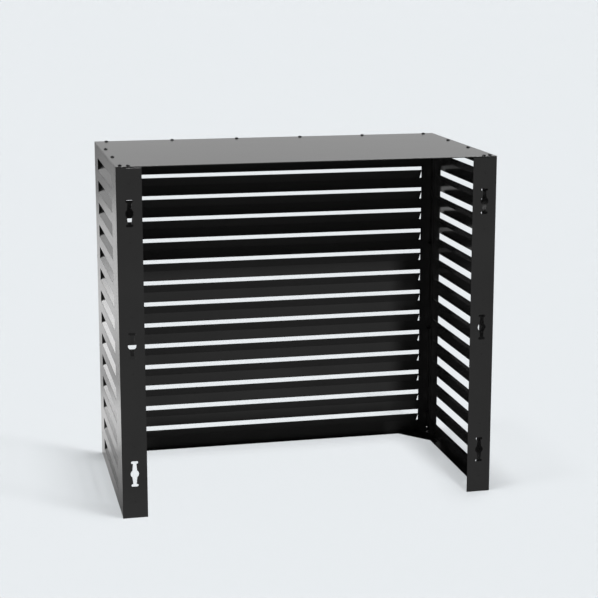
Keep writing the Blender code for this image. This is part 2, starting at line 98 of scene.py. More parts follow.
# Louvres: the opening in the sheet, the flap bent out of it, and the solid strips round the louvres.
LOUVRE_COUNT = 14
LOUVRE_OPENING = 0.0310
LOUVRE_KERF = 0.0012
LOUVRE_END_GAP = 0.0050
FLAP_ANGLE = math.radians(37)
TOP_STRIP = 0.034
BOTTOM_STRIP = 0.034
FRONT_END_STRIP = 0.030
SIDE_FRONT_STRIP = 0.080
SIDE_REAR_STRIP = 0.100

# Wall fixings in each rear flange: keyholes at these heights, and a punched pilot mark above and below
# each. A keyhole is a round hole with a neck up and down from it, and a bar across the end of each neck.
KEYHOLE_HEIGHTS = (0.110, 0.425, 0.740)
KEYHOLE_HEIGHT = 0.0635
KEYHOLE_HOLE_RADIUS = 0.0100
KEYHOLE_NECK = 0.0080
KEYHOLE_MOUTH = 0.0115
KEYHOLE_BAR_LENGTH = 0.0170
KEYHOLE_BAR_HEIGHT = 0.0067
KEYHOLE_BAR_MIDDLE = (KEYHOLE_HEIGHT - KEYHOLE_BAR_HEIGHT) / 2
BAR_END_STEPS = 8
PILOT_RADIUS = 0.0018
PILOT_DEPTH = 0.0013
PILOT_OFFSET = 0.0685

# Fasteners: M5 button heads with clinch nuts, flush M5 studs with hexagon nuts, 3.5 mm pan heads.
M5_RADIUS = 0.0025
M5_PITCH = 0.0008
M5_HOLE_RADIUS = M5_RADIUS + AIR
BUTTON_RADIUS = 0.00475
BUTTON_HEIGHT = 0.0026
BUTTON_REACH = 0.0120
BUTTON_SOCKET = 0.00173
BUTTON_SOCKET_DEPTH = 0.0015
BUTTON_FLAT = BUTTON_SOCKET * 1.3
CLINCH_RADIUS = 0.0048
CLINCH_HEIGHT = 0.0040
CLINCH_CHAMFER = CLINCH_HEIGHT / 6
STUD_HEAD_RADIUS = 0.0040
STUD_HOLE_RADIUS = STUD_HEAD_RADIUS + AIR
STUD_REACH = 0.0095
STUD_CHAMFER = AIR / 2
HEX_RADIUS = 0.0046
HEX_FACE_RADIUS = HEX_RADIUS * 0.88
HEX_HEIGHT = 0.0047
HEX_CHAMFER = HEX_HEIGHT / 10
PAN_SHANK_RADIUS = 0.00175
PAN_HOLE_RADIUS = PAN_SHANK_RADIUS + AIR
PAN_PITCH = 0.0013
PAN_RADIUS = 0.0034
PAN_FLAT = PAN_RADIUS / 2
PAN_HEIGHT = 0.0021
PAN_REACH = 0.0038
PAN_RECESS_WIDTH = 0.0007
PAN_RECESS_MIDDLE = PAN_HEIGHT * 1.05

# The shape of heads and threads, the steps round them, and the floor brackets: the width of their blunt
# ends, and how many of a bracket's screws, the first ones, go through the front.
HEAD_RIM = 0.25
DOME_STEPS = 6
THREAD_DEPTH = 0.00035
ROUND = 40
HEX = 6
BRACKET_END = 0.0100
FRONT_BRACKET_SCREWS = 2

SIDES = (("left", -1), ("right", 1))


# Small helpers.


def linear(hex_colour):
    """A linear RGBA colour from an sRGB hex value."""
    channels = [int(hex_colour[i : i + 2], 16) / 255 for i in (1, 3, 5)]
    return [c / 12.92 if c <= 0.04045 else ((c + 0.055) / 1.055) ** 2.4 for c in channels] + [1.0]


def add_node(tree, kind, settings=None, inputs=None):
    """Adds a shader node. An input is a value, or the output socket that it is linked from."""
    node = tree.nodes.new(kind)
    for name, value in (settings or {}).items():
        setattr(node, name, value)
    for name, value in (inputs or {}).items():
        if isinstance(value, bpy.types.NodeSocket):
            tree.links.new(value, node.inputs[name])
        else:
            node.inputs[name].default_value = value
    return node


def new_material(name):
    """An empty material, and its node tree."""
    material = bpy.data.materials.new(name)
    material.use_nodes = True
    tree = material.node_tree
    tree.nodes.clear()
    return material, tree


def spaced(first, last, count):
    """Evenly spaced places from first to last."""
    step = (last - first) / (count - 1)
    return [first + step * index for index in range(count)]


def only(piece):
    """Makes a piece the one selected and active object."""
    bpy.ops.object.select_all(action="DESELECT")
    piece.select_set(True)
    bpy.context.view_layer.objects.active = piece


def settle():
    """Puts the active piece's place, turn and size into its mesh."""
    bpy.ops.object.transform_apply(location=True, rotation=True, scale=True)


def edit(on):
    """Enters edit mode, or leaves it."""
    bpy.ops.object.mode_set(mode="EDIT" if on else "OBJECT")


def pick(kind, test):
    """In edit mode, selects the faces ("FACE") or edges ("EDGE") that pass a test, and nothing else."""
    bpy.ops.mesh.select_mode(type=kind)
    bpy.ops.mesh.select_all(action="DESELECT")
    mesh = bpy.context.object.data
    shape = bmesh.from_edit_mesh(mesh)
    for item in shape.faces if kind == "FACE" else shape.edges:
        if test(item):
            item.select_set(True)
    bmesh.update_edit_mesh(mesh)


def between(low, high):
    """A test for edges whose two ends lie in a box."""
    return lambda edge: all(
        a - WELD <= c <= b + WELD for end in edge.verts for a, c, b in zip(low, end.co, high)
    )


def modify(piece, kind, **settings):
    """Adds a modifier to a piece and applies it."""
    only(piece)
    modifier = piece.modifiers.new(kind.lower(), kind)
    for name, value in settings.items():
        setattr(modifier, name, value)
    bpy.ops.object.modifier_apply(modifier=modifier.name)


def break_edges(piece, width=EDGE_BREAK, segments=1):
    """A small bevel on every square edge."""
    modify(
        piece, "BEVEL", width=width, segments=segments, limit_method="ANGLE", angle_limit=SQUARE_EDGE
    )


def smooth(piece):
    """Smooth round folds and holes beside flat faces that stay flat."""
    only(piece)
    bpy.ops.object.shade_smooth_by_angle(angle=SMOOTH_BEND)
    modify(piece, "WEIGHTED_NORMAL", keep_sharp=True)


def drill(radius, length, place, axis="Z", sides=ROUND):
    """A round tool, or with six sides a hexagonal one, centred on a place along an axis."""
    turn = {"X": (0, QUARTER, 0), "Y": (QUARTER, 0, 0), "Z": (0, 0, 0)}[axis]
    bpy.ops.object.select_all(action="DESELECT")
    bpy.ops.mesh.primitive_cylinder_add(
        vertices=sides, radius=radius, depth=length, location=place, rotation=turn
    )
    return bpy.context.object


def block(size, place):
    """A rectangular tool with its size and place in its mesh."""
    bpy.ops.object.select_all(action="DESELECT")
    bpy.ops.mesh.primitive_cube_add(size=1, location=place)
    made = bpy.context.object
    made.scale = size
    settle()
    return made


def cut(piece, tools, operation="DIFFERENCE"):
    """Joins tools that don't touch each other and takes them out of a piece."""
    only(tools[0])
    for tool in tools:
        tool.select_set(True)
    if len(tools) > 1:
        bpy.ops.object.join()
    tool = bpy.context.object
    modify(piece, "BOOLEAN", operation=operation, object=tool, solver="EXACT")
    bpy.data.objects.remove(tool, do_unlink=True)


# Sheets and folds. A sheet is drawn in the XZ plane, with its outer face at y = 0 and the inside at -y.


def flat_sheet(across, up):
    """A flat sheet with grid lines at the given places across it and up it, left in edit mode."""
    across = sorted(across)
    up = sorted(up)
    middle = ((across[0] + across[-1]) / 2, 0, (up[0] + up[-1]) / 2)
    bpy.ops.object.select_all(action="DESELECT")
    bpy.ops.mesh.primitive_plane_add(size=1, location=middle, rotation=(QUARTER, 0, 0))
    sheet = bpy.context.object
    sheet.scale = (across[-1] - across[0], up[-1] - up[0], 1)
    settle()
    edit(True)
    for places, normal in ((across, Vector((1, 0, 0))), (up, Vector((0, 0, 1)))):
        for place in places[1:-1]:
            bpy.ops.mesh.select_all(action="SELECT")
            bpy.ops.mesh.bisect(plane_co=normal * place, plane_no=normal, threshold=ON_PLANE)
    return sheet


def cut_away(left, right, low, high):
    """Removes the part of a flat sheet inside a rectangle."""

    def gone(face):
        middle = face.calc_center_median()
        return left < middle.x < right and low < middle.z < high

    pick("FACE", gone)
    bpy.ops.mesh.delete(type="FACE")


def carry_on(offset):
    """Extends the sheet flat from its selected edges."""
    bpy.ops.mesh.extrude_region_move(TRANSFORM_OT_translate={"value": offset})


def fold(low, high, centre, axis, angle, direction, flat):
    """Rolls the sheet's edges in a box round a fold line, then carries it on flat."""
    pick("EDGE", between(low, high))
    bpy.ops.mesh.spin(steps=FOLD_STEPS, angle=-angle, center=centre, axis=axis)
    carry_on(Vector(direction) * flat)


def fold_back(low, high, centre, axis, turn, width):
    """Folds an edge square to the face, so that the return is as wide as given, fold included."""
    fold(low, high, centre, axis, turn * QUARTER, (0, -1, 0), width - FOLD_RADIUS)


def louvre_floors():
    """The heights of the louvres' hinge lines, lowest first."""
    return spaced(BOTTOM_STRIP, HEIGHT - TOP_STRIP - LOUVRE_OPENING, LOUVRE_COUNT)


def bend_louvres(left, right):
    """Cuts each louvre's opening between left and right, and bends its flap inwards."""
    flap_left = left + LOUVRE_END_GAP
    flap_right = right - LOUVRE_END_GAP
    flat = LOUVRE_OPENING - LOUVRE_KERF - FOLD_RADIUS * FLAP_ANGLE
    inwards = (0, -math.sin(FLAP_ANGLE), math.cos(FLAP_ANGLE))
    for floor_z in louvre_floors():
        cut_away(left, right, floor_z, floor_z + LOUVRE_OPENING)
    for floor_z in louvre_floors():
        fold(
            (flap_left, 0, floor_z),
            (flap_right, 0, floor_z),
            (0, -FOLD_RADIUS, floor_z),
            (1, 0, 0),
            FLAP_ANGLE,
            inwards,
            flat,
        )


def edge_stations(low, high, folded, notch):
    """Grid places at both ends of an edge: the corner, its own fold band if it has one, and the notch."""
    stations = [low, low + notch - FOLD_RELIEF, low + notch]
    stations += [high - notch, high - notch + FOLD_RELIEF, high]
    if folded:
        stations += [low + FOLD_RADIUS, high - FOLD_RADIUS]
    return stations


def louvre_stations():
    """The heights of all the louvre openings' lower and upper edges."""
    return [z for floor_z in louvre_floors() for z in (floor_z, floor_z + LOUVRE_OPENING)]


def thicken(sheet, hand, place, turn):
    """Leaves edit mode, mirrors a left-hand sheet, puts it in its place and gives it its thickness."""
    edit(False)
    only(sheet)
    sheet.scale = (hand, 1, 1)
    settle()
    edit(True)
    bpy.ops.mesh.select_all(action="SELECT")
    bpy.ops.mesh.remove_doubles(threshold=WELD)
    bpy.ops.mesh.normals_make_consistent(inside=False)
    widest = max(bmesh.from_edit_mesh(sheet.data).faces, key=lambda face: face.calc_area())
    if widest.normal.y < 0:
        bpy.ops.mesh.flip_normals()
    edit(False)
    sheet.location = place
    sheet.rotation_euler.z = turn
    settle()
    modify(sheet, "SOLIDIFY", thickness=SHEET, offset=-1, use_even_offset=True)
    break_edges(sheet)


def press_flush(sheet, node):
    """Presses what a bevel has pushed out of the sheet's faces back into its node's box."""
    low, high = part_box(node)
    for vertex in sheet.data.vertices:
        vertex.co = [min(max(c, a), b) for a, c, b in zip(low, vertex.co, high)]


def middle(node):
    """The middle of a CAD node's box."""
    low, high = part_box(node)
    return (low + high) / 2


def numbered(stem):
    """The nodes whose names are the stem and a number, in order."""
    return sorted(name for name in nodes if name.startswith(stem) and name[len(stem) :].isdigit())


TOP_SCREWS = [middle(name) for name in numbered("top_screw_")]


def front_sheet():
    """The louvred front: a tray with its top, bottom and side edges folded in."""
    half = FRONT_WIDTH / 2
    notch = half - (WIDTH / 2 - RETURN_END)
    right = WIDTH / 2 - FRONT_END_STRIP
    columns = [-right, -right + LOUVRE_END_GAP, right - LOUVRE_END_GAP, right]
    sheet = flat_sheet(
        edge_stations(-half, half, True, notch) + columns,
        edge_stations(0, PANEL_TOP, True, CORNER_NOTCH) + louvre_stations(),
    )
    inner = half - notch
    relief = inner + FOLD_RELIEF
    bend_x = half - FOLD_RADIUS
    bend_top = PANEL_TOP - FOLD_RADIUS
    notch_top = PANEL_TOP - CORNER_NOTCH
    cut_away(-relief, relief, bend_top, PANEL_TOP)
    cut_away(-relief, relief, 0, FOLD_RADIUS)
    for side in (-1, 1):
        outer = sorted((side * bend_x, side * half))
        cut_away(*outer, CORNER_NOTCH - FOLD_RELIEF, notch_top + FOLD_RELIEF)
    bend_louvres(-right, right)
    for z, turn, width in ((bend_top, 1, FRONT_TOP_RETURN), (FOLD_RADIUS, -1, FRONT_BOTTOM_RETURN)):
        fold_back((-inner, 0, z), (inner, 0, z), (0, -FOLD_RADIUS, z), (1, 0, 0), turn, width)
    for side in (-1, 1):
        x = side * bend_x
        fold_back(
            (x, 0, CORNER_NOTCH), (x, 0, notch_top), (x, -FOLD_RADIUS, 0), (0, 0, 1), -side, CORNER_RETURN
        )
    thicken(sheet, 1, (0, DEPTH / 2, 0), 0)
    tools = []
    for place in TOP_SCREWS:
        if place.y > DEPTH / 2 - FRONT_TOP_RETURN:
            tools.append(drill(M5_HOLE_RADIUS, TOOL_REACH, (place.x, place.y, PANEL_TOP)))
    for side, hand in SIDES:
        for name in numbered(f"{side}_bracket_screw_")[:FRONT_BRACKET_SCREWS]:
            place = middle(name)
            tools.append(drill(PAN_HOLE_RADIUS, TOOL_REACH, (place.x, place.y, 0)))
        for name in numbered(f"{side}_corner_stud_"):
            place = middle(name)
            tools.append(drill(M5_HOLE_RADIUS, TOOL_REACH, (hand * half, place.y, place.z), "X"))
    cut(sheet, tools)
    press_flush(sheet, "front_panel")
    return sheet


def side_sheet(side, hand):
    """A louvred side with a wide rear flange for the wall. It is drawn with its front edge at x = 0."""
    bend_x = DEPTH - FOLD_RADIUS
    left = SIDE_FRONT_STRIP
    right = DEPTH - SIDE_REAR_STRIP
    bend_top = PANEL_TOP - FOLD_RADIUS
    columns = [left, left + LOUVRE_END_GAP, right - LOUVRE_END_GAP, right]
    sheet = flat_sheet(
        edge_stations(0, bend_x, False, CORNER_NOTCH) + columns,
        [0, FOLD_RADIUS, bend_top, PANEL_TOP] + louvre_stations(),
    )
    first = CORNER_NOTCH
    last = bend_x - CORNER_NOTCH
    cut_away(first - FOLD_RELIEF, last + FOLD_RELIEF, bend_top, PANEL_TOP)
    cut_away(first - FOLD_RELIEF, last + FOLD_RELIEF, 0, FOLD_RADIUS)
    bend_louvres(left, right)
    for z, turn in ((bend_top, 1), (FOLD_RADIUS, -1)):
        fold_back((first, 0, z), (last, 0, z), (0, -FOLD_RADIUS, z), (1, 0, 0), turn, SIDE_RETURN)
    fold_back(
        (bend_x, 0, 0), (bend_x, 0, PANEL_TOP), (bend_x, -FOLD_RADIUS, 0), (0, 0, 1), -1, RETURN_END
    )
    pick("EDGE", between((DEPTH, -RETURN_END, 0), (DEPTH, -RETURN_END, bend_top)))
    carry_on((0, -FOLD_RELIEF, 0))
    carry_on((0, TAB_START - REAR_FLANGE, 0))
    fold(
        (DEPTH, -REAR_FLANGE, bend_top),
        (DEPTH, -TAB_START, bend_top),
        (DEPTH - FOLD_RADIUS, 0, bend_top),
        (0, 1, 0),
        -QUARTER,
        (-1, 0, 0),
        FRONT_TOP_RETURN - FOLD_RADIUS,
    )
    thicken(sheet, hand, (hand * WIDTH / 2, DEPTH / 2, 0), -hand * QUARTER)
    drill_side(sheet, side, hand)
    press_flush(sheet, f"{side}_side_panel")
    return sheet


def drill_side(sheet, side, hand):
    """Screw and stud holes, punched pilot marks, then the keyholes: round hole, waist and bars."""
    tools = []
    for place in TOP_SCREWS:
        on_return = hand * place.x > WIDTH / 2 - SIDE_RETURN and place.y < DEPTH / 2 - FRONT_TOP_RETURN
        on_tab = hand * place.x > 0 and place.y < -DEPTH / 2 + FRONT_TOP_RETURN
        if on_return or on_tab:
            tools.append(drill(M5_HOLE_RADIUS, TOOL_REACH, (place.x, place.y, PANEL_TOP)))
    for name in numbered(f"{side}_bracket_screw_")[FRONT_BRACKET_SCREWS:]:
        place = middle(name)
        tools.append(drill(PAN_HOLE_RADIUS, TOOL_REACH, (place.x, place.y, 0)))
    for name in numbered(f"{side}_corner_stud_"):
        place = middle(name)
        tools.append(drill(STUD_HOLE_RADIUS, TOOL_REACH, (hand * WIDTH / 2, place.y, place.z), "X"))
    x = hand * (WIDTH - REAR_FLANGE) / 2
    y = -DEPTH / 2
    for z in KEYHOLE_HEIGHTS:
        tools.append(drill(KEYHOLE_HOLE_RADIUS, TOOL_REACH, (x, y, z), "Y"))
        for way in (-1, 1):
            tools.append(drill(PILOT_RADIUS, 2 * PILOT_DEPTH, (x, y, z + way * PILOT_OFFSET), "Y"))
    cut(sheet, tools)
    cut(sheet, [keyhole_waist((x, y, z)) for z in KEYHOLE_HEIGHTS])
    heights = [z + way * KEYHOLE_BAR_MIDDLE for z in KEYHOLE_HEIGHTS for way in (-1, 1)]
    cut(sheet, [keyhole_bar((x, y, z)) for z in heights])


def keyhole_waist(place):
    """A tool that is widest at the round hole and narrows up and down to the bars."""
    mouth_z = math.sqrt(KEYHOLE_HOLE_RADIUS**2 - (KEYHOLE_MOUTH / 2) ** 2)
    neck_z = KEYHOLE_BAR_MIDDLE - KEYHOLE_BAR_HEIGHT / 2
    taper = (KEYHOLE_MOUTH - KEYHOLE_NECK) / (neck_z - mouth_z)
    waist = KEYHOLE_MOUTH + taper * mouth_z
    tool = block((waist, TOOL_REACH, 2 * KEYHOLE_BAR_MIDDLE), place)
    edit(True)
    bpy.ops.mesh.select_all(action="SELECT")
    bpy.ops.mesh.bisect(plane_co=place, plane_no=(0, 0, 1), threshold=ON_PLANE)
    narrow = 1 - taper * KEYHOLE_BAR_MIDDLE / waist
    for way in (-1, 1):
        pick("FACE", lambda face: face.normal.z * way > FACING)
        end = (place[0], place[1], place[2] + way * KEYHOLE_BAR_MIDDLE)
        bpy.ops.transform.resize(value=(narrow, 1, 1), center_override=end)
    edit(False)
    return tool


def keyhole_bar(place):
    """A short bar with round ends, across the end of a keyhole's neck."""
    tool = block((KEYHOLE_BAR_LENGTH, TOOL_REACH, KEYHOLE_BAR_HEIGHT), place)
    edit(True)
    pick("EDGE", lambda edge: abs((edge.verts[0].co - edge.verts[1].co).y) > TOOL_REACH / 2)
    bpy.ops.mesh.bevel(offset=KEYHOLE_BAR_HEIGHT / 2 - WELD, segments=BAR_END_STEPS)
    edit(False)
    return tool


def top_plate():
    """The flat lid, flush with the outside of the panels, with a hole for each screw."""
    plate = block(tuple(top_high - top_low), tuple(middle("top_panel")))
    plate_sheet = top_high.z - top_low.z
    edit(True)
    pick("EDGE", lambda edge: abs((edge.verts[0].co - edge.verts[1].co).z) > plate_sheet / 2)
    bpy.ops.mesh.bevel(offset=TOP_CORNER, segments=TOP_CORNER_STEPS)
    edit(False)
    break_edges(plate, EDGE_BREAK, TOP_EDGE_STEPS)
    cut(plate, [drill(M5_HOLE_RADIUS, TOOL_REACH, (p.x, p.y, top_low.z)) for p in TOP_SCREWS])
    return plate


def floor_bracket(side, hand):
    """A flat corner plate that lies on the bottom returns of the front and one side."""
    low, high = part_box(f"{side}_floor_bracket")
    plate = block(tuple(high - low), tuple((low + high) / 2))
    near = high.x if hand > 0 else low.x
    far = low.x if hand > 0 else high.x
    first = Vector((far, high.y - BRACKET_END, 0))
    last = Vector((near - hand * BRACKET_END, low.y, 0))
    run = last - first
    out = Vector((run.y, -run.x, 0)) * hand
    edit(True)
    bpy.ops.mesh.select_all(action="SELECT")
    bpy.ops.mesh.bisect(
        plane_co=first, plane_no=out, use_fill=True, clear_outer=True, threshold=ON_PLANE
    )
    bpy.ops.mesh.select_all(action="SELECT")
    bpy.ops.mesh.normals_make_consistent(inside=False)
    edit(False)
    break_edges(plate)
    places = [middle(name) for name in numbered(f"{side}_bracket_screw_")]
    cut(plate, [drill(PAN_HOLE_RADIUS, TOOL_REACH, (p.x, p.y, low.z)) for p in places])
    return plate


# Fasteners, each one about its own Z axis.


def turned(rings):
    """A round piece drawn up from a flat circle, from ring to ring of (radius, height)."""
    radius, height = rings[0]
    bpy.ops.object.select_all(action="DESELECT")
    bpy.ops.mesh.primitive_circle_add(
        vertices=ROUND, radius=radius, fill_type="NGON", location=(0, 0, height)
    )
    piece = bpy.context.object
    settle()
    edit(True)
    bpy.ops.mesh.select_mode(type="FACE")
    bpy.ops.mesh.select_all(action="SELECT")
    for next_radius, next_height in rings[1:]:
        carry_on((0, 0, next_height - height))
        share = next_radius / radius
        bpy.ops.transform.resize(value=(share, share, 1), center_override=(0, 0, next_height))
        radius, height = next_radius, next_height
    bpy.ops.mesh.select_all(action="SELECT")
    bpy.ops.mesh.normals_make_consistent(inside=False)
    edit(False)
    return piece


def thread(radius, tip, root, pitch):
    """Rings of a chamfered tip and a thread up to the root, with a ring and a groove for each pitch."""
    rings = [(radius - 2 * THREAD_DEPTH, tip), (radius - THREAD_DEPTH, tip + pitch / 4)]
    turns = int((root - tip - pitch) / pitch)
    for index in range(turns):
        start = tip + pitch / 2 + index * pitch
        rings += [(radius, start), (radius - THREAD_DEPTH, start + pitch / 2)]
    return rings + [(radius, root - pitch / 4), (radius, root)]


def dome(radius, height, flat):
    """Rings of a head from its rim up to the flat on its top, whose radius is given."""
    rim = HEAD_RIM * height
    rings = [(radius, 0), (radius, rim)]
    last = math.acos(flat / radius)
    for index in range(1, DOME_STEPS + 1):
        angle = last * index / DOME_STEPS
        rings.append((radius * math.cos(angle), rim + (height - rim) * math.sin(angle) / math.sin(last)))
    return rings


def button_screw():
    """An M5 button head screw with a 3 mm hexagon socket."""
    shank = thread(M5_RADIUS, -BUTTON_REACH, 0, M5_PITCH)
    piece = turned(shank + dome(BUTTON_RADIUS, BUTTON_HEIGHT, BUTTON_FLAT))
    cut(piece, [drill(BUTTON_SOCKET, 2 * BUTTON_SOCKET_DEPTH, (0, 0, BUTTON_HEIGHT), sides=HEX)])
    return piece


def pan_screw():
    """A 3.5 mm pan head sheet metal screw, its cross recess as wide as the flat on its head."""
    shank = thread(PAN_SHANK_RADIUS, -PAN_REACH, 0, PAN_PITCH)
    piece = turned(shank + dome(PAN_RADIUS, PAN_HEIGHT, PAN_FLAT))
    for across, along in ((2 * PAN_FLAT, PAN_RECESS_WIDTH), (PAN_RECESS_WIDTH, 2 * PAN_FLAT)):
        cut(piece, [block((across, along, PAN_HEIGHT), (0, 0, PAN_RECESS_MIDDLE))])
    return piece


def flush_stud():
    """A clinch stud: its head fills the sheet below z = 0 and its threaded shank goes on down."""
    shank = thread(M5_RADIUS, -SHEET - STUD_REACH, -SHEET, M5_PITCH)
    head = [
        (STUD_HEAD_RADIUS, -SHEET),
        (STUD_HEAD_RADIUS, -STUD_CHAMFER),
        (STUD_HEAD_RADIUS - STUD_CHAMFER, 0),
    ]
    return turned(shank + head)


def bore(piece, radius, height):
    """Takes a bore out of a nut below z = 0 and breaks its edges."""
    cut(piece, [drill(radius, 2 * height, (0, 0, -height / 2))])
    break_edges(piece, NUT_EDGE_BREAK)
    return piece


def clinch_nut():
    """A round clinch nut below z = 0, chamfered at its free end."""
    blank = [
        (CLINCH_RADIUS - CLINCH_CHAMFER, -CLINCH_HEIGHT),
        (CLINCH_RADIUS, CLINCH_CHAMFER - CLINCH_HEIGHT),
        (CLINCH_RADIUS, 0),
    ]
    return bore(turned(blank), M5_HOLE_RADIUS, CLINCH_HEIGHT)


def hexagon_nut():
    """An M5 hexagon nut below z = 0, its corners chamfered by a round blank at both ends."""
    blank = [
        (HEX_FACE_RADIUS, -HEX_HEIGHT),
        (HEX_RADIUS, HEX_CHAMFER - HEX_HEIGHT),
        (HEX_RADIUS, -HEX_CHAMFER),
        (HEX_FACE_RADIUS, 0),
    ]
    piece = turned(blank)
    prism = drill(HEX_RADIUS, 2 * HEX_HEIGHT, (0, 0, -HEX_HEIGHT / 2), sides=HEX)
    cut(piece, [prism], "INTERSECT")
    return bore(piece, M5_HOLE_RADIUS, HEX_HEIGHT)


# Materials.

# Polyester powder coat on steel, baked on in a fine-textured matt black. Square on, it throws back almost
# nothing; at a low angle it turns to a pale satin mirror. Its texture is about 1 mm across on the real
# sheet and is drawn 2.5 mm across here, 400 to the metre, so that it shows at all. Its black is uneven in
# clouds of about 110 mm, where the coat is thicker or thinner. The resin's IOR is about 1.5, which is
# brought down to match the object, whose matting agents dull it.
COAT_DARK = "#282828"
COAT_LIGHT = "#2d2d2d"
COAT_TEXTURE = 400.0
COAT_TEXTURE_DETAIL = 2.0
COAT_CLOUD = 9.0
COAT_CLOUD_DETAIL = 3.0
COAT_ROUGHNESS = (0.09, 0.19)
COAT_BUMP = 0.0002
COAT_BUMP_STRENGTH = 0.06
COAT_IOR = 1.33


def powder_coat():
    """The coat on all the sheets and brackets."""
    material, tree = new_material("black_powder_coated_steel")
    place = add_node(tree, "ShaderNodeTexCoord").outputs["Object"]
    cloud = add_node(
        tree,
        "ShaderNodeTexNoise",
        inputs={"Vector": place, "Scale": COAT_CLOUD, "Detail": COAT_CLOUD_DETAIL},
    ).outputs["Fac"]
    grain = add_node(
        tree,
        "ShaderNodeTexNoise",
        inputs={"Vector": place, "Scale": COAT_TEXTURE, "Detail": COAT_TEXTURE_DETAIL},
    ).outputs["Fac"]
    tint = add_node(
        tree,
        "ShaderNodeMix",
        {"data_type": "RGBA"},
        {"Factor": cloud, "A": linear(COAT_DARK), "B": linear(COAT_LIGHT)},
    )
    sheen = add_node(
        tree,
        "ShaderNodeMapRange",
        inputs={"Value": grain, "To Min": COAT_ROUGHNESS[0], "To Max": COAT_ROUGHNESS[1]},
    )
    bump = add_node(
        tree,
        "ShaderNodeBump",
        inputs={"Strength": COAT_BUMP_STRENGTH, "Distance": COAT_BUMP, "Height": grain},
    )
    shader = add_node(
        tree,
        "ShaderNodeBsdfPrincipled",
        inputs={
            "Base Color": tint.outputs["Result"],
            "Roughness": sheen.outputs["Result"],
            "Normal": bump.outputs["Normal"],
            "IOR": COAT_IOR,
        },
    )
    add_node(tree, "ShaderNodeOutputMaterial", inputs={"Surface": shader.outputs["BSDF"]})
    return material


# Steel fasteners, zinc plated and black passivated: dark metal with a soft, slightly uneven shine. The
# unevenness is 1 mm across on the real heads, which is what it is here, 1000 to the metre.
ZINC_DARK = "#141415"
ZINC_LIGHT = "#202022"
ZINC_GRAIN = 1000.0
ZINC_GRAIN_DETAIL = 2.0
ZINC_ROUGHNESS = (0.36, 0.50)


def black_zinc():
    """The plating on all the screws, studs and nuts."""
    material, tree = new_material("black_zinc_plated_steel")
    place = add_node(tree, "ShaderNodeTexCoord").outputs["Object"]
    grain = add_node(
        tree,
        "ShaderNodeTexNoise",
        inputs={"Vector": place, "Scale": ZINC_GRAIN, "Detail": ZINC_GRAIN_DETAIL},
    ).outputs["Fac"]
    tint = add_node(
        tree,
        "ShaderNodeMix",
        {"data_type": "RGBA"},
        {"Factor": grain, "A": linear(ZINC_DARK), "B": linear(ZINC_LIGHT)},
    )
    sheen = add_node(
        tree,
        "ShaderNodeMapRange",
        inputs={"Value": grain, "To Min": ZINC_ROUGHNESS[0], "To Max": ZINC_ROUGHNESS[1]},
    )
    shader = add_node(
        tree,
        "ShaderNodeBsdfPrincipled",
        inputs={
            "Base Color": tint.outputs["Result"],
            "Roughness": sheen.outputs["Result"],
            "Metallic": 1.0,
        },
    )
    add_node(tree, "ShaderNodeOutputMaterial", inputs={"Surface": shader.outputs["BSDF"]})
    return material


# The CAD nodes get the finishes too, and nothing else about them changes.
coat = powder_coat()
zinc = black_zinc()
for name, node in nodes.items():
    node.data.materials.clear()
    node.data.materials.append(coat if name.endswith(("_panel", "_bracket")) else zinc)


# The pieces, each in place of its CAD node.


def stands_for(piece, name, node, material):
    """Names a finished piece, gives it its finish, and puts it in place of its CAD node."""
    piece.name = name
    piece.data.name = name
    piece.data.materials.clear()
    piece.data.materials.append(material)
    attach(piece, "root")
    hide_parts(node)


def copies(model, stem, matrices):
    """A copy of a fastener, with its own mesh, for each node and the matrix that puts it there."""
    smooth(model)
    for node, matrix in matrices.items():
        copy = model.copy()
        copy.data = model.data.copy()
        copy.data.transform(matrix)
        bpy.context.scene.collection.objects.link(copy)
        number = node.rsplit("_", 1)[1]
        stands_for(copy, f"{stem}_{number}", node, zinc)
    bpy.data.objects.remove(model, do_unlink=True)


def upright(node, z):
    """Puts a fastener's axis upright through its node, and its z = 0 at a height."""
    place = middle(node)
    return Matrix.Translation((place.x, place.y, z))


def sideways(node, hand):
    """Turns a fastener's Z axis outwards along X and puts its z = 0 on the node's outer side."""
    low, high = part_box(node)
    outer = high.x if hand > 0 else low.x
    place = (outer, (low.y + high.y) / 2, (low.z + high.z) / 2)
    return Matrix.Translation(place) @ Matrix.Rotation(hand * QUARTER, 4, "Y")


side_pieces = {}
for side, hand in SIDES:
    sheet = side_sheet(side, hand)
    smooth(sheet)
    stands_for(sheet, f"{side}_louvred_side", f"{side}_side_panel", coat)
    side_pieces[side] = sheet
    plate = floor_bracket(side, hand)
    smooth(plate)
    stands_for(plate, f"{side}_corner_plate", f"{side}_floor_bracket", coat)
front_piece = front_sheet()
for piece, name, node in (
    (front_piece, "louvred_front", "front_panel"),
    (top_plate(), "top_sheet", "top_panel"),
):
    smooth(piece)
    stands_for(piece, name, node, coat)

screw_floor = HEIGHT + AIR
nut_top = PANEL_TOP - SHEET - AIR
copies(button_screw(), "button_screw", {n: upright(n, screw_floor) for n in numbered("top_screw_")})
copies(clinch_nut(), "round_nut", {n: upright(n, nut_top) for n in numbered("clinch_nut_")})
for side, hand in SIDES:
    studs = {n: sideways(n, hand) for n in numbered(f"{side}_corner_stud_")}
    copies(flush_stud(), f"{side}_flush_stud", studs)
    nuts = {n: sideways(n, hand) for n in numbered(f"{side}_corner_nut_")}
    copies(hexagon_nut(), f"{side}_hexagon_nut", nuts)
    head_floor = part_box(f"{side}_floor_bracket")[1].z + AIR
    screws = {n: upright(n, head_floor) for n in numbered(f"{side}_bracket_screw_")}
    copies(pan_screw(), f"{side}_pan_screw", screws)


# Studio. The screen is lit from the camera's side, on a pale floor under an even pale sky. What its coat
# mirrors is set apart from what the camera sees. At the left, a strip of white floor behind the screen,
# with a greyer band near it, gives the left side its shine, and a grey sky gives the top its own. The floor
# to both sides of the strip and the room behind the camera are dark.

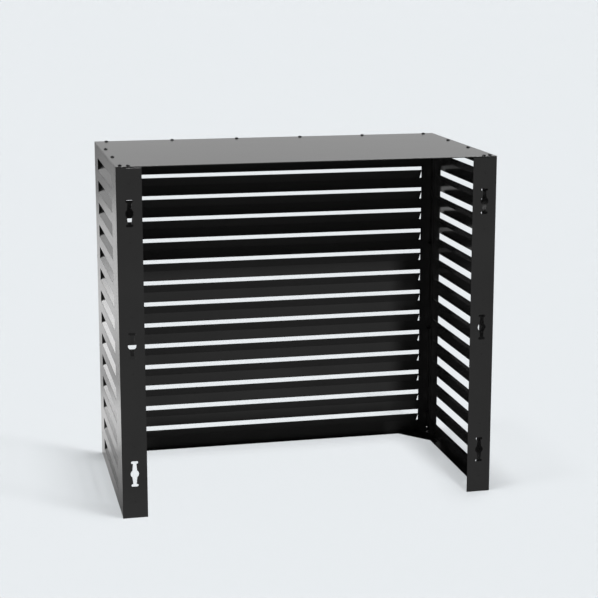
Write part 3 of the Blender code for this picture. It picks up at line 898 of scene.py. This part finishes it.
# The colour of floor and sky to the camera, the sky's fill, the light that the floor throws back as a share
# of its own, and its size.
PALE = "#e9edf0"
FILL = 0.15
FLOOR_BOUNCE = 0.08
FLOOR_SIZE = 120

# Mirrored greys, where 1 is white.
DARK_ROOM = 0.03
DARK_FLOOR = DARK_ROOM / 3
BAND = 0.6
SWEEP = 0.57

# Where the mirrored floor changes, in metres: along Y, which runs from the camera to the screen and on, and
# across the strip, at X + STRIP_SLANT * Y, so that its edges run along the mirrored line of sight.
FLOOR_START = (-0.6, 0.7)
BAND_START = (0.6, 1.0)
BAND_END = (1.0, 2.1)
FLOOR_FADE = (3.9, 5.4)
STRIP_SLANT = 0.1
STRIP_LEFT = (-0.92, -0.62)
STRIP_RIGHT = (-0.39, -0.27)

# Where the mirrored sky changes, in shares of a direction's length: paler to the left, and darker behind
# the camera.
SKY_LEFT = (-0.24, -0.17)
SKY_BEHIND = (-0.5, 0.3)

# Each lamp's turn to the right from the open back's side and its height, in degrees, its strength, and its
# spread in degrees. The low lamp stands behind the screen at the left and shines on the left side's flaps.
LAMPS = {
    "front_key": (4, 33.5, 2.9, 5),
    "back_lamp_right": (150, 40, 1.8, 20),
    "back_lamp_left": (-140, 40, 1.8, 20),
    "low_lamp_left": (-164, 1.2, 0.02, 6),
    "floor_key": (4, 60, 4.6, 6),
    "floor_lamp_right_low": (50, 55, 1.3, 6),
    "floor_lamp_right": (52, 77, 2.3, 8),
    "floor_lamp_right_high": (60, 85, 3.8, 8),
    "floor_lamp_left": (-78, 72, 1.1, 6),
    "floor_lamp_left_high": (-76, 85.5, 5.2, 7),
    "floor_lamp_top": (125, 86, 4.9, 8),
}

# The lamps that light the floor alone, each with the pieces that it throws the shadow of. The others light
# the screen alone.
CASTS = {
    "floor_key": [side_pieces["right"]],
    "floor_lamp_right_low": [side_pieces["left"]],
    "floor_lamp_right": [side_pieces["left"]],
    "floor_lamp_right_high": [side_pieces["left"]],
    "floor_lamp_left": [side_pieces["right"]],
    "floor_lamp_left_high": [side_pieces["right"]],
    "floor_lamp_top": [front_piece, side_pieces["right"]],
}

# The flag's middle and size, and the camera's place, turns in degrees, lens and sensor in millimetres, and
# shift in frame widths.
FLAG_PLACE = (0.01, -0.4, 0.45)
FLAG_SIZE = (0.79, 0.12, 1)
CAMERA_PLACE = (-0.8234, -3.7784, 1.3148)
CAMERA_DOWN = 10.78
CAMERA_RIGHT = 12.7
LENS = 92.75
SENSOR = 36
SHIFT = -0.075

SMOOTH = {"interpolation_type": "SMOOTHSTEP"}


def seen_colour(tree, glossy, other):
    """Pale to the camera and through glass, one grey to glossy rays, and another to all others."""
    ray = add_node(tree, "ShaderNodeLightPath").outputs
    straight = add_node(
        tree,
        "ShaderNodeMath",
        {"operation": "MAXIMUM"},
        {0: ray["Is Camera Ray"], 1: ray["Is Transmission Ray"]},
    )
    grey = add_node(
        tree, "ShaderNodeMix", inputs={"Factor": ray["Is Glossy Ray"], "A": other, "B": glossy}
    )
    seen = add_node(
        tree,
        "ShaderNodeMix",
        {"data_type": "RGBA"},
        {"Factor": straight.outputs["Value"], "A": grey.outputs["Result"], "B": linear(PALE)},
    )
    return seen.outputs["Result"]


def pale_floor():
    """A matt floor that its own lamps bring to its colour, with what the coat mirrors of it."""
    level = FILL + sum(
        strength * math.sin(math.radians(height)) / math.pi
        for name, (turn, height, strength, spread) in LAMPS.items()
        if name in CASTS
    )
    material, tree = new_material("pale_studio_floor")
    place = add_node(tree, "ShaderNodeTexCoord").outputs["Object"]
    axes = add_node(tree, "ShaderNodeSeparateXYZ", inputs={"Vector": place}).outputs
    along = axes["Y"]
    slant = add_node(tree, "ShaderNodeMath", {"operation": "MULTIPLY"}, {0: along, 1: STRIP_SLANT})
    across = add_node(
        tree, "ShaderNodeMath", {"operation": "ADD"}, {0: axes["X"], 1: slant.outputs["Value"]}
    ).outputs["Value"]
    glossy = 1.0
    for value, (low, high), before, after in (
        (along, FLOOR_START, DARK_ROOM, 1.0),
        (along, BAND_START, 1.0, BAND),
        (along, BAND_END, 1.0, 1 / BAND),
        (along, FLOOR_FADE, 1.0, SWEEP),
        (across, STRIP_LEFT, DARK_FLOOR, 1.0),
        (across, STRIP_RIGHT, 1.0, DARK_FLOOR),
    ):
        share = add_node(
            tree,
            "ShaderNodeMapRange",
            SMOOTH,
            {"Value": value, "From Min": low, "From Max": high, "To Min": before, "To Max": after},
        )
        glossy = add_node(
            tree, "ShaderNodeMath", {"operation": "MULTIPLY"}, {0: glossy, 1: share.outputs["Result"]}
        ).outputs["Value"]
    colour = add_node(
        tree,
        "ShaderNodeVectorMath",
        {"operation": "SCALE"},
        {0: seen_colour(tree, glossy, FLOOR_BOUNCE * level), "Scale": 1 / level},
    )
    matt = add_node(tree, "ShaderNodeBsdfDiffuse", inputs={"Color": colour.outputs["Vector"]})
    add_node(tree, "ShaderNodeOutputMaterial", inputs={"Surface": matt.outputs["BSDF"]})
    return material


def studio_world():
    """The same pale all round to the camera, a dim grey fill, and the mirrored sky."""
    world = bpy.data.worlds.new("studio")
    world.use_nodes = True
    tree = world.node_tree
    tree.nodes.clear()
    way = add_node(tree, "ShaderNodeTexCoord").outputs["Generated"]
    axes = add_node(tree, "ShaderNodeSeparateXYZ", inputs={"Vector": way}).outputs
    glossy = SWEEP
    for axis, (low, high), before in (("X", SKY_LEFT, 1.0), ("Y", SKY_BEHIND, DARK_ROOM)):
        glossy = add_node(
            tree,
            "ShaderNodeMapRange",
            SMOOTH,
            {"Value": axes[axis], "From Min": low, "From Max": high, "To Min": before, "To Max": glossy},
        ).outputs["Result"]
    colour = seen_colour(tree, glossy, FILL)
    backdrop = add_node(tree, "ShaderNodeBackground", inputs={"Color": colour, "Strength": 1.0})
    add_node(tree, "ShaderNodeOutputWorld", inputs={"Surface": backdrop.outputs["Background"]})
    return world


bpy.ops.object.select_all(action="DESELECT")
bpy.ops.mesh.primitive_plane_add(size=FLOOR_SIZE, location=(0, 0, 0))
floor = bpy.context.object
floor.name = "studio_floor"
floor.data.materials.append(pale_floor())
bpy.context.scene.world = studio_world()

# A flag between the rear flanges, which only the lamps see, keeps the key off the foot of the front. That
# foot is nearly black in the photo.
bpy.ops.object.select_all(action="DESELECT")
bpy.ops.mesh.primitive_plane_add(size=1, location=FLAG_PLACE, rotation=(QUARTER, 0, 0))
flag = bpy.context.object
flag.name = "studio_flag"
flag.scale = FLAG_SIZE
flag.data.materials.append(floor.data.materials[0])
flag.visible_camera = False
flag.visible_diffuse = False
flag.visible_glossy = False
flag.visible_transmission = False


def linked_set(name, things, state="INCLUDE"):
    """A light's set of objects: the ones it touches, or with EXCLUDE the ones it leaves out."""
    group = bpy.data.collections.new(name)
    for thing in things:
        group.objects.link(thing)
    for entry in group.collection_objects:
        entry.light_linking.link_state = state
    return group


for name, (turn, height, strength, spread) in LAMPS.items():
    sun = bpy.data.lights.new(name, "SUN")
    sun.energy = strength
    sun.angle = math.radians(spread)
    lamp = bpy.data.objects.new(name, sun)
    lamp.rotation_euler = (math.radians(90 - height), 0, math.radians(turn))
    bpy.context.scene.collection.objects.link(lamp)
    if name in CASTS:
        lamp.light_linking.receiver_collection = linked_set(name + "_lights", [floor])
        lamp.light_linking.blocker_collection = linked_set(name + "_shadows", CASTS[name])
        sun.cycles.use_multiple_importance_sampling = False
    else:
        lamp.light_linking.receiver_collection = linked_set(name + "_leaves", [floor], "EXCLUDE")

camera_data = bpy.data.cameras.new("camera")
camera_data.lens = LENS
camera_data.sensor_width = SENSOR
camera_data.shift_y = SHIFT
camera = bpy.data.objects.new("camera", camera_data)
camera.location = CAMERA_PLACE
camera.rotation_euler = (math.radians(90 - CAMERA_DOWN), 0, math.radians(-CAMERA_RIGHT))
bpy.context.scene.collection.objects.link(camera)
bpy.context.scene.camera = camera
bpy.context.scene.view_settings.view_transform = "Standard"

bpy.context.view_layer.update()
